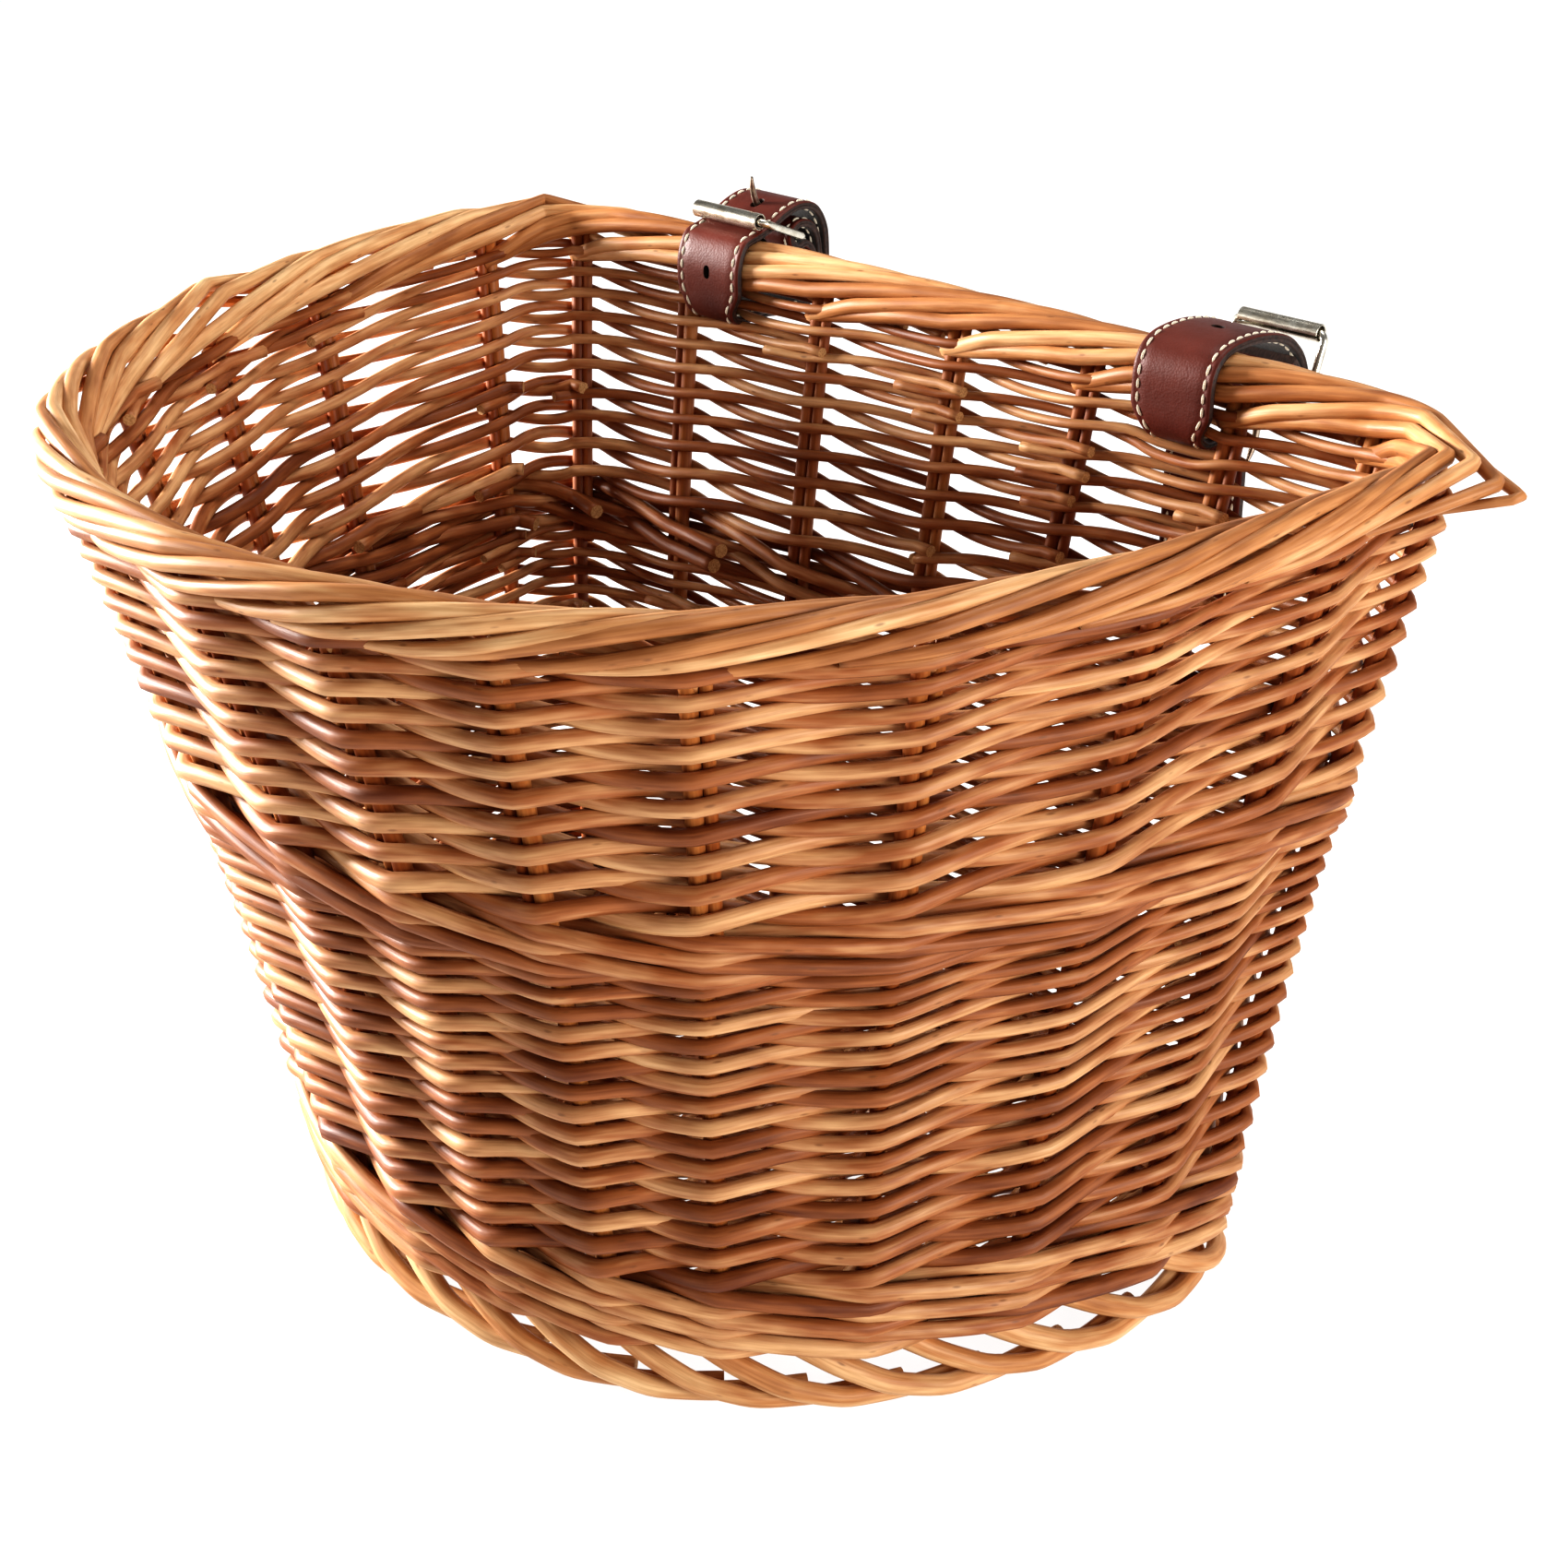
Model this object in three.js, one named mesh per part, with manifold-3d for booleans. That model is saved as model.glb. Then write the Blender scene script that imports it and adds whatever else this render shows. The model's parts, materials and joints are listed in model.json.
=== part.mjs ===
// A D-shaped woven willow basket with two buckled leather straps that hang it on a handlebar.
// Millimetres, +Z up. +Y is the straight back that faces the handlebar, -Y the rounded front.
import * as THREE from 'three';
import { mergeVertices } from 'three/addons/utils/BufferGeometryUtils.js';
import Module from 'manifold-3d';

const wasm = await Module();
wasm.setup();

// ---- driving dimensions ----------------------------------------------------------------------

const height = 250;
const rim = { width: 350, depth: 272, corner: 28, back: 0, fullness: 0.65 };
const base = { width: 277, depth: 170, corner: 24, back: -36, fullness: 0.57 };

const gap = 0.35;                 // air between pieces that touch on the real basket
const stakeCount = 21;
const stakeShift = -4;            // from the middle of the back to the nearest stake
const stakeRadius = 2.1;
const weaveHalf = 4.4;            // half the thickness of the woven wall
const waleHalf = 5.6;             // the waled bands are twined from three rods and stand prouder

const level = { foot: 0, baseWale: 22, lowerWeave: 44, middleWale: 149, upperWeave: 162, border: 237 };
const borderHalf = 6.6;
const footHalf = 5;

const floorLevel = 24;
const floorThickness = 8;
const stickRadius = 2.6;
const stickRows = [-75, -120, -165];

const strap = { width: 25, neck: 19, thickness: 2.6, slot: 226 };
const strapPlaces = { left: 1.75, right: 19.25 };   // counted in stakes from the first stake
const wire = 2.4;                 // thickness of the square-section buckle frame
const buckleInside = 27;
const bore = wire * Math.SQRT1_2 + gap;
const roller = { radius: 3, length: 25.6 };
const prong = { width: 3, ring: 3.4, reach: 19.5 };
const slotWidth = prong.width + 1.6;

const willow = new THREE.Color(0xc98a4b);
const leather = new THREE.Color(0x5c2a1c);
const nickel = new THREE.Color(0xc9c3b0);

// ---- the wall: a D outline that grows from the base to the rim -------------------------------

// The outline runs anticlockwise from the middle of the back, as six curves.
function outlineCurves({ width, depth, corner, back, fullness }) {
  const side = width / 2;
  const flat = side - corner;
  const front = back - depth;
  const shoulder = back - corner;
  const bulge = shoulder - fullness * (depth - corner);
  const at = (x, y) => new THREE.Vector2(x, y);
  return [
    new THREE.LineCurve(at(0, back), at(-flat, back)),
    new THREE.EllipseCurve(-flat, shoulder, corner, corner, Math.PI / 2, Math.PI),
    new THREE.CubicBezierCurve(at(-side, shoulder), at(-side, bulge), at(-fullness * side, front), at(0, front)),
    new THREE.CubicBezierCurve(at(0, front), at(fullness * side, front), at(side, bulge), at(side, shoulder)),
    new THREE.EllipseCurve(flat, shoulder, corner, corner, 0, Math.PI / 2),
    new THREE.LineCurve(at(flat, back), at(0, back)),
  ];
}

const rimCurves = outlineCurves(rim);
const baseCurves = outlineCurves(base);
const rimLengths = rimCurves.map((curve) => curve.getLength());
const girth = rimLengths.reduce((sum, length) => sum + length, 0);
const wrapRadius = girth / (2 * Math.PI);

// A place on the wall's middle surface: `along` is millimetres round the rim from the back's middle.
function wallPoint(along, z) {
  let rest = THREE.MathUtils.euclideanModulo(along, girth);
  let part = 0;
  while (part < rimLengths.length - 1 && rest > rimLengths[part]) {
    rest -= rimLengths[part];
    part += 1;
  }
  const share = Math.min(rest / rimLengths[part], 1);
  const low = baseCurves[part].getPointAt(share);
  return low.lerp(rimCurves[part].getPointAt(share), z / height);
}

// Bends a solid drawn round a plain circle of the same girth onto the wall.
function wrap(geometry) {
  const place = geometry.attributes.position;
  for (let i = 0; i < place.count; i += 1) {
    const [x, y, z] = [place.getX(i), place.getY(i), place.getZ(i)];
    const along = Math.atan2(y, x) * wrapRadius;
    const offset = Math.hypot(x, y) - wrapRadius;
    const point = wallPoint(along, z);
    const run = wallPoint(along + 1, z).sub(wallPoint(along - 1, z)).normalize();
    place.setXYZ(i, point.x + run.y * offset, point.y - run.x * offset, z);
  }
  geometry.computeVertexNormals();
  return geometry;
}

const polar = (along, offset) => {
  const angle = along / wrapRadius;
  const radius = wrapRadius + offset;
  return new THREE.Vector2(radius * Math.cos(angle), radius * Math.sin(angle));
};

// ---- booleans --------------------------------------------------------------------------------

function toManifold(geometry) {
  const bare = geometry.clone();
  bare.deleteAttribute('normal');
  bare.deleteAttribute('uv');
  const merged = mergeVertices(bare, 1e-4);
  const vertProperties = new Float32Array(merged.attributes.position.array);
  const triVerts = new Uint32Array(merged.index.array);
  return new wasm.Manifold(new wasm.Mesh({ numProp: 3, vertProperties, triVerts }));
}

function fromManifold(solid) {
  const { vertProperties, triVerts } = solid.getMesh();
  const geometry = new THREE.BufferGeometry();
  geometry.setAttribute('position', new THREE.BufferAttribute(new Float32Array(vertProperties), 3));
  geometry.setIndex(new THREE.BufferAttribute(new Uint32Array(triVerts), 1));
  geometry.computeVertexNormals();
  return geometry;
}

const cut = (geometry, ...tools) => fromManifold(
  tools.reduce((solid, tool) => solid.subtract(toManifold(tool)), toManifold(geometry)),
);

const join = (geometry, extra) => fromManifold(toManifold(geometry).add(toManifold(extra)));

const block = (x, y, z, width, depth, tall) => new THREE.BoxGeometry(width, depth, tall).translate(x, y, z);

// ---- the assembly ----------------------------------------------------------------------------

const basket = new THREE.Group();

function add(name, geometry, color, roughness, metalness, parent = basket) {
  const mesh = new THREE.Mesh(geometry, new THREE.MeshStandardMaterial({ color, roughness, metalness }));
  mesh.name = name;
  parent.add(mesh);
  return mesh;
}

const addWillow = (name, geometry) => add(name, geometry, willow, 0.55, 0);

// ---- willow ----------------------------------------------------------------------------------

const pitch = girth / stakeCount;
const stakePlaces = Array.from({ length: stakeCount }, (_, i) => i * pitch - stakeShift);

// Each strap passes through the wall just beside a stake.
const strapX = (place) => wallPoint(stakePlaces[0] + place * pitch, strap.slot).x;
const leftX = strapX(strapPlaces.left);
const rightX = strapX(strapPlaces.right);

// A closed ring whose section is a list of [offset, z] corners, drawn round the plain circle.
function circleRing(section, stations) {
  const profile = [...section, section[0]].map(([offset, z]) => new THREE.Vector2(wrapRadius + offset, z));
  return new THREE.LatheGeometry(profile, stations).rotateX(Math.PI / 2);
}

const ringGeometry = (section) => wrap(circleRing(section, 4 * stakeCount));

// A woven band is a ring whose inner face steps out at each stake, which leaves it a channel. It has
// eight stations to a stake: two at the channel's walls, two at the lips beyond them, and four that
// let the band follow the outline up to the next stake.
function bandGeometry(half, bottom, top) {
  const stationsPerStake = 8;
  const channelHalf = stakeRadius + gap;
  const lip = 0.5;
  const section = [[-half, bottom], [half, bottom], [half, top], [-half, top]];
  const ring = circleRing(section, stationsPerStake * stakeCount);
  ring.rotateZ((stakePlaces[0] + pitch / (2 * stationsPerStake)) / wrapRadius);
  const place = ring.attributes.position;
  for (let i = 0; i < place.count; i += 1) {
    const [x, y] = [place.getX(i), place.getY(i)];
    const past = (Math.atan2(y, x) * wrapRadius - stakePlaces[0]) / pitch;
    const stake = Math.round(past);
    const station = Math.ceil(Math.abs(past - stake) * stationsPerStake);
    const reach = [channelHalf, channelHalf + lip][station - 1] ?? Math.abs(past - stake) * pitch;
    const onInside = Math.hypot(x, y) < wrapRadius;
    const innerOffset = station === 1 ? channelHalf : -half;
    const along = stakePlaces[0] + stake * pitch + Math.sign(past - stake) * reach;
    const spot = polar(along, onInside ? innerOffset : half);
    place.setXY(i, spot.x, spot.y);
  }
  return wrap(ring);
}

function roundSection(half, middle) {
  const sides = 8;
  const radius = half / Math.cos(Math.PI / sides);
  return Array.from({ length: sides }, (_, i) => {
    const angle = ((i + 0.5) * 2 * Math.PI) / sides;
    return [radius * Math.cos(angle), middle + radius * Math.sin(angle)];
  });
}

function footSection() {
  const top = level.baseWale - gap;
  const toe = 2;
  return [
    [-footHalf + toe, level.foot],
    [footHalf - toe, level.foot],
    [footHalf, level.foot + toe],
    [footHalf, top],
    [-footHalf, top],
    [-footHalf, level.foot + toe],
  ];
}

function stakeGeometry(place) {
  const bottom = level.baseWale + gap;
  const top = level.border - gap;
  const spot = polar(place, 0);
  const rod = new THREE.CylinderGeometry(stakeRadius, stakeRadius, top - bottom, 8);
  rod.rotateX(Math.PI / 2).rotateZ(place / wrapRadius);
  return wrap(rod.translate(spot.x, spot.y, (top + bottom) / 2));
}

const strapSlot = (x) => block(x, 0, strap.slot, strap.neck + 2.2, 40, strap.thickness + 5);

// The floor is woven round thicker sticks, which lie in channels on its underside.
function floorOutline() {
  const samples = 60;
  const inset = waleHalf + 3 * gap;
  return Array.from({ length: samples }, (_, i) => {
    const along = (i * girth) / samples;
    const point = wallPoint(along, floorLevel);
    const run = wallPoint(along + 1, floorLevel).sub(wallPoint(along - 1, floorLevel)).normalize();
    return new THREE.Vector2(point.x - run.y * inset, point.y + run.x * inset);
  });
}

function stickLength(y) {
  const xs = floorOutline().filter((point) => Math.abs(point.y - y) < 12).map((point) => Math.abs(point.x));
  return 2 * (Math.min(...xs) - 3);
}

function floorGeometry() {
  const sheet = new THREE.ExtrudeGeometry(new THREE.Shape(floorOutline()), {
    depth: floorThickness,
    bevelEnabled: false,
  }).translate(0, 0, floorLevel);
  const channels = stickRows.map((y) => {
    const side = 2 * (stickRadius + gap);
    return block(0, y, floorLevel, stickLength(y) + 2 * gap, side, 2 * side);
  });
  return cut(sheet, ...channels);
}

function stickGeometry(y) {
  const rod = new THREE.CylinderGeometry(stickRadius, stickRadius, stickLength(y), 8);
  return rod.rotateZ(Math.PI / 2).translate(0, y, floorLevel + stickRadius);
}

function makeWillow() {
  addWillow('foot_border', ringGeometry(footSection()));
  addWillow('base_wale', bandGeometry(waleHalf, level.baseWale, level.lowerWeave - gap));
  addWillow('lower_weave', bandGeometry(weaveHalf, level.lowerWeave, level.middleWale - gap));
  addWillow('middle_wale', bandGeometry(waleHalf, level.middleWale, level.upperWeave - gap));
  const upper = bandGeometry(weaveHalf, level.upperWeave, level.border - gap);
  addWillow('upper_weave', cut(upper, strapSlot(leftX), strapSlot(rightX)));
  addWillow('top_border', ringGeometry(roundSection(borderHalf, level.border + borderHalf)));
  addWillow('floor_weave', floorGeometry());
  stickRows.forEach((y, i) => addWillow(`floor_stick_${i + 1}`, stickGeometry(y)));
  stakePlaces.forEach((place, i) => {
    addWillow(`stake_${String(i + 1).padStart(2, '0')}`, stakeGeometry(place));
  });
}

// ---- leather straps --------------------------------------------------------------------------

// Side views of the two straps, as [y, z] along the middle of the leather, from the end that wraps
// the buckle's bar. The left strap is buckled round the rim and the handlebar's place.
const leftBar = [17, 249];
const leftRoller = [-1.6, 256.8];
const leftRoute = [
  [23.2, 237], [23.2, 243], [20, 246], [17, 245.4], [13.9, 247.2], [13.6, 250.4], [17, 252.6],
  [21.5, 251.8], [25, 248], [26.3, 241], [25.5, 232], [21, 227], [13, 226], [2, 226], [-6, 226],
  [-9.8, 228.8], [-10.4, 236], [-10.2, 244], [-7.3, 250.2], [-1.6, 252], [4, 253.8], [11, 256.9],
  [18, 258.2], [24.5, 256.2], [28.6, 250], [29.6, 242], [29.4, 234], [28.8, 228],
];
const rightBar = [33.3, 229];
const rightRoute = [
  [28.6, 242.6], [31, 239.8], [32.4, 236.5], [31.4, 233], [29.7, 229.4], [30.7, 226.4], [33.3, 225.3],
  [35.9, 226.3], [36.9, 229.2], [36.3, 234], [34.6, 239.5], [31, 244.8], [24.5, 249.4], [14, 252.2],
  [3, 252.9], [-5.5, 251.4], [-10, 246.4], [-10.8, 238], [-10.2, 230], [-6, 226], [0, 226],
  [4.6, 224.8], [7, 220], [7.2, 205], [7, 185], [6.8, 168],
];

// The leather's side outline: the route thickened to both sides, with its ends closed.
function strapGeometry(route, steps) {
  const curve = new THREE.SplineCurve(route.map(([y, z]) => new THREE.Vector2(y, z)));
  const half = strap.thickness / 2;
  const leftSide = [];
  const rightSide = [];
  for (let i = 0; i <= steps; i += 1) {
    const point = curve.getPoint(i / steps);
    const run = curve.getTangent(i / steps);
    leftSide.push(new THREE.Vector2(point.x - run.y * half, point.y + run.x * half));
    rightSide.push(new THREE.Vector2(point.x + run.y * half, point.y - run.x * half));
  }
  const shape = new THREE.Shape([...leftSide, ...rightSide.reverse()]);
  const slab = new THREE.ExtrudeGeometry(shape, { depth: strap.width, bevelEnabled: false });
  slab.translate(0, 0, -strap.width / 2);
  // shape x is the object's y, shape y its z, and the extrusion its x
  const turn = new THREE.Matrix4().makeBasis(
    new THREE.Vector3(0, 1, 0),
    new THREE.Vector3(0, 0, 1),
    new THREE.Vector3(1, 0, 0),
  );
  return pinch(slab.applyMatrix4(turn));
}

// The strap narrows where it squeezes through the weave beside a stake.
function pinch(slab) {
  const place = slab.attributes.position;
  const narrow = strap.neck / strap.width;
  const neckLength = 14;
  const neckMiddle = -1;
  for (let i = 0; i < place.count; i += 1) {
    const [y, z] = [place.getY(i), place.getZ(i)];
    const beyond = Math.max(Math.abs(y - neckMiddle) - neckLength / 2, 0);
    const above = Math.max(Math.abs(z - strap.slot) - strap.thickness, 0);
    const away = Math.hypot(beyond, above);
    const scale = THREE.MathUtils.lerp(narrow, 1, THREE.MathUtils.smoothstep(away, 0, 8));
    place.setX(i, place.getX(i) * scale);
  }
  slab.computeVertexNormals();
  return slab;
}

function makeStrap(name, x, route, steps, holes) {
  const tools = holes.map(([y, z, depth, tall]) => block(0, y, z, slotWidth, depth, tall));
  const leatherBand = cut(strapGeometry(route, steps), ...tools);
  add(name, leatherBand.translate(x, 0, 0), leather, 0.5, 0);
}

// ---- buckles ---------------------------------------------------------------------------------

// A buckle is drawn with its bar along X at the origin and its roller along +Y.
function frameGeometry(reach) {
  const inside = buckleInside / 2;
  const outside = inside + wire;
  const half = wire / 2;
  const box = (x, low, high) => [[-x, low], [x, low], [x, high], [-x, high]]
    .map(([px, py]) => new THREE.Vector2(px, py));
  const shape = new THREE.Shape(box(outside, -half, reach + half));
  shape.holes.push(new THREE.Path(box(inside, half, reach - half)));
  return new THREE.ExtrudeGeometry(shape, { depth: wire, bevelEnabled: false }).translate(0, 0, -half);
}

function tubeGeometry(inner, outer, length) {
  const corners = [[inner, -1], [outer, -1], [outer, 1], [inner, 1], [inner, -1]];
  const profile = corners.map(([radius, end]) => new THREE.Vector2(radius, (end * length) / 2));
  return new THREE.LatheGeometry(profile, 20).rotateZ(Math.PI / 2);
}

// The prong is a ring on the bar with a shank that tapers to a rounded tip.
function prongGeometry() {
  const root = bore + 0.3;
  const shank = new THREE.Shape();
  shank.moveTo(root, -1.1);
  shank.lineTo(prong.reach - 1, -0.6);
  shank.quadraticCurveTo(prong.reach, 0, prong.reach - 1, 0.6);
  shank.lineTo(root, 1.1);
  const blade = new THREE.ExtrudeGeometry(shank, { depth: prong.width, bevelEnabled: false, curveSegments: 4 });
  blade.translate(0, 0, -prong.width / 2);
  const turn = new THREE.Matrix4().makeBasis(
    new THREE.Vector3(0, 1, 0),
    new THREE.Vector3(0, 0, 1),
    new THREE.Vector3(1, 0, 0),
  );
  return join(tubeGeometry(bore, prong.ring, prong.width), blade.applyMatrix4(turn));
}

// frameTilt and prongTilt turn the frame and the prong about the bar, from level towards +Z.
function makeBuckle(side, x, [y, z], reach, frameTilt, prongTilt) {
  const hinge = new THREE.Group();
  hinge.position.set(x, y, z);
  const frame = new THREE.Group();
  frame.rotation.x = frameTilt;
  const pin = new THREE.Group();
  pin.rotation.x = prongTilt;
  hinge.add(frame, pin);
  basket.add(hinge);
  add(`${side}_buckle_frame`, frameGeometry(reach), nickel, 0.3, 1, frame);
  const tube = tubeGeometry(bore, roller.radius, roller.length).translate(0, reach, 0);
  add(`${side}_buckle_roller`, tube, nickel, 0.28, 1, frame);
  add(`${side}_buckle_prong`, prongGeometry(), nickel, 0.3, 1, pin);
}

function makeStraps() {
  const [rise, run] = [leftRoller[1] - leftBar[1], leftRoller[0] - leftBar[0]];
  const reach = Math.hypot(rise, run);
  makeStrap('left_strap', leftX, leftRoute, 110, [
    [15, 249, 12, 9.6], [11.2, 258, 8, 9], [-10.4, 241, 6, 2.6],
  ]);
  makeBuckle('left', leftX, leftBar, reach, Math.atan2(rise, run), Math.PI - 1.06);
  makeStrap('right_strap', rightX, rightRoute, 90, [
    [33.3, 227, 12, 13], [9, 253, 2.6, 6],
  ]);
  makeBuckle('right', rightX, rightBar, reach, 1.2, -1.75);
}

makeWillow();
makeStraps();

// The origin is under the middle of the whole object, on the surface that it stands on.
const extent = new THREE.Box3().setFromObject(basket, true);
const middle = extent.getCenter(new THREE.Vector3());
basket.position.set(-middle.x, -middle.y, -extent.min.z);
const group = new THREE.Group();
group.add(basket);

export default group;
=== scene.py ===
"""The looks of a D-shaped willow handlebar basket that hangs on two buckled leather straps.

Every rod of the walls, the borders and the floor is a tube of its own, and the rods of each row are
one mesh. They are woven in front of and behind the stakes, where the CAD frame has plain bands. The
straps, their stitches and the buckles follow the CAD's pieces.
Lengths are in millimetres until a mesh is made. +Y is the straight back, -Y the rounded front.
"""

import json
import math
import random

import bmesh
import bpy
import numpy as np
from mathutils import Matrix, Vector


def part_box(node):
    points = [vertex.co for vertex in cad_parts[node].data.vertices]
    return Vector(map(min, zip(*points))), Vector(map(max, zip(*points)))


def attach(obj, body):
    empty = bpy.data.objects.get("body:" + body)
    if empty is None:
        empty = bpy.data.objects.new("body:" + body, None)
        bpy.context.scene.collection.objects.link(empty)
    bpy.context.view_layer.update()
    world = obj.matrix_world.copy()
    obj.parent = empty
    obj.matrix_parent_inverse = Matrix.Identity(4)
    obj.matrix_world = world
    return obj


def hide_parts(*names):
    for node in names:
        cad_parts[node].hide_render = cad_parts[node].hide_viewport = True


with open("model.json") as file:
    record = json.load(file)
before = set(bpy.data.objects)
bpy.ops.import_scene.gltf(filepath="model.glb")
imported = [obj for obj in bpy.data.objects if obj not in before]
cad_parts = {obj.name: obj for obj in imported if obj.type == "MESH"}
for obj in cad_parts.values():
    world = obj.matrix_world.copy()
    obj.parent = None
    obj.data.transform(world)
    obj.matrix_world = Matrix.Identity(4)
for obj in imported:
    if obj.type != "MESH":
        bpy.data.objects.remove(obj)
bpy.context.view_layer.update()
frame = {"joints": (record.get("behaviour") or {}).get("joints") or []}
random.seed(21)

# ---- sizes, in millimetres, as in the CAD model --------------------------------------------------

MM = 0.001
HEIGHT = 250
LEFT_BAR_Y = 17        # the left buckle's bar stands this far behind the rim's straight back
BACK_LEAN = 36         # the back of the base stands this far in front of the rim's
joints = {joint["name"]: joint for joint in frame["joints"]}
BACK = joints["left_frame_swing"]["pos_m"][1] / MM - LEFT_BAR_Y
RIM = dict(width=350, depth=272, corner=28, back=BACK, fullness=0.65)
BASE = dict(width=277, depth=170, corner=24, back=BACK - BACK_LEAN, fullness=0.57)

STAKES = 21
FIRST_STAKE = 4        # along the rim, from the middle of the back
STAKE_RADIUS = 2.4
BOW = 4                # how far the woven wall is drawn in between its foot and its rim


def bottom_and_top(node):
    low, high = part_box(node)
    return low.z / MM, high.z / MM


def add_to_scene(name, data):
    """A new object of the mesh, light or camera that data is."""
    thing = bpy.data.objects.new(name, data)
    bpy.context.scene.collection.objects.link(thing)
    return thing


# ---- the wall --------------------------------------------------------------------------------------

CURVE_STEPS = 200


def evenly(points):
    """The same line with its points evenly spaced, and its length."""
    steps = np.linalg.norm(np.diff(points, axis=0), axis=1)
    passed = np.concatenate([[0], np.cumsum(steps)])
    spots = np.linspace(0, passed[-1], CURVE_STEPS + 1)
    line = np.column_stack([np.interp(spots, passed, points[:, i]) for i in range(points.shape[1])])
    return line, passed[-1]


def outline(width, depth, corner, back, fullness):
    """The D as six curves, anticlockwise from the middle of its back."""
    side = width / 2
    flat = side - corner
    front = back - depth
    shoulder = back - corner
    bulge = shoulder - fullness * (depth - corner)
    t = np.linspace(0, 1, 4 * CURVE_STEPS)[:, None]

    def line(a, b):
        return np.array(a) * (1 - t) + np.array(b) * t

    def arc(x, y, start, end):
        angle = start + (end - start) * t
        return np.hstack([x + corner * np.cos(angle), y + corner * np.sin(angle)])

    def bezier(a, b, c, d):
        first, second = np.array(a) * (1 - t) ** 3, 3 * np.array(b) * t * (1 - t) ** 2
        return first + second + 3 * np.array(c) * t**2 * (1 - t) + np.array(d) * t**3

    return [evenly(curve) for curve in (
        line((0, back), (-flat, back)),
        arc(-flat, shoulder, math.pi / 2, math.pi),
        bezier((-side, shoulder), (-side, bulge), (-fullness * side, front), (0, front)),
        bezier((0, front), (fullness * side, front), (side, bulge), (side, shoulder)),
        arc(flat, shoulder, 0, math.pi / 2),
        line((flat, back), (0, back)),
    )]


rim_curves = outline(**RIM)
base_curves = outline(**BASE)
CURVE_ENDS = np.concatenate([[0], np.cumsum([length for _, length in rim_curves])])
GIRTH = CURVE_ENDS[-1]
PITCH = GIRTH / STAKES
TABLE_ALONG = np.concatenate([
    np.linspace(start, end, CURVE_STEPS + 1)[:-1] for start, end in zip(CURVE_ENDS, CURVE_ENDS[1:])
])
RIM_TABLE = np.concatenate([points[:-1] for points, _ in rim_curves])
BASE_TABLE = np.concatenate([points[:-1] for points, _ in base_curves])


def middle_of_wall(along, z):
    """x and y at height z on the straight line from the base's outline up to the rim's."""
    low = [np.interp(along, TABLE_ALONG, BASE_TABLE[:, i], period=GIRTH) for i in (0, 1)]
    high = [np.interp(along, TABLE_ALONG, RIM_TABLE[:, i], period=GIRTH) for i in (0, 1)]
    return [a + (b - a) * z / HEIGHT for a, b in zip(low, high)]


def wall(along, z, offset=0.0):
    """Points at height z, `along` the rim from the middle of the back, and offset outwards."""
    along, z, offset = np.broadcast_arrays(np.asarray(along, float), z, offset)
    offset = offset - BOW * np.sin(math.pi * np.clip(z / HEIGHT, 0, 1))
    x, y = middle_of_wall(along, z)
    before, after = middle_of_wall(along - 1, z), middle_of_wall(along + 1, z)
    run_x, run_y = after[0] - before[0], after[1] - before[1]
    length = np.hypot(run_x, run_y)
    return np.column_stack([x + run_y / length * offset, y - run_x / length * offset, z])


# The stakes don't stand quite evenly. These ones are shifted along the rim, and those between them
# are shifted in step.
SHIFTED_STAKES = [0, 3, 4, 5, 10, 13, 14, 16, 19, 21]
SHIFTS = [-4, 2, -17, 6, 17, -5, -4, 19, -2, -4]
# The straps pass close by these stakes, so they stand a little aside, on along the rim or back.
AWAY_FROM_STRAP = {2: 1, 19: -1}
ASIDE = 1.2


def even_place(number):
    return FIRST_STAKE + number * PITCH


stake_places = [
    even_place(i) + np.interp(i, SHIFTED_STAKES, SHIFTS) + random.uniform(-1, 1) for i in range(STAKES)
]
for number, way in AWAY_FROM_STRAP.items():
    stake_places[number] = even_place(number) + ASIDE * way


def along_stakes(u):
    """The place along the rim of stake number u, which may lie between two stakes."""
    numbers = np.arange(-STAKES, 2 * STAKES + 1)
    places = [stake_places[n % STAKES] + (n // STAKES) * GIRTH for n in numbers]
    return np.interp(u, numbers, places)


def straightened(u, z, offset=0.0, share=0.75):
    """The wall's points at u, drawn in where a stiff rod runs nearly straight between two stakes."""
    stake = np.floor(u)
    before, after = (wall(along_stakes(stake + k), z) for k in (0, 1))
    chord = before + (after - before) * (u - stake)[:, None]
    return wall(along_stakes(u), z, offset) + share * (chord - wall(along_stakes(u), z))


# ---- rods ------------------------------------------------------------------------------------------

def unit(vectors):
    return vectors / np.linalg.norm(vectors, axis=-1, keepdims=True)


def carried_frames(path, closed):
    """Two directions square to the path at each point, which turn with it and don't twist."""
    if closed:
        runs = unit(np.roll(path, -1, axis=0) - np.roll(path, 1, axis=0))
    else:
        runs = unit(np.gradient(path, axis=0))
    start = np.cross(runs[0], (0, 0, 1) if abs(runs[0][2]) < 0.9 else (1, 0, 0))
    sides = [start / np.linalg.norm(start)]
    for run in runs[1:]:
        side = sides[-1] - run * (sides[-1] @ run)
        sides.append(side / math.sqrt(side @ side))
    sides = np.array(sides)
    return sides, np.cross(runs, sides)


GRAIN_SPREAD = 900     # every rod's grain starts at a place of its own within this range


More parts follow.
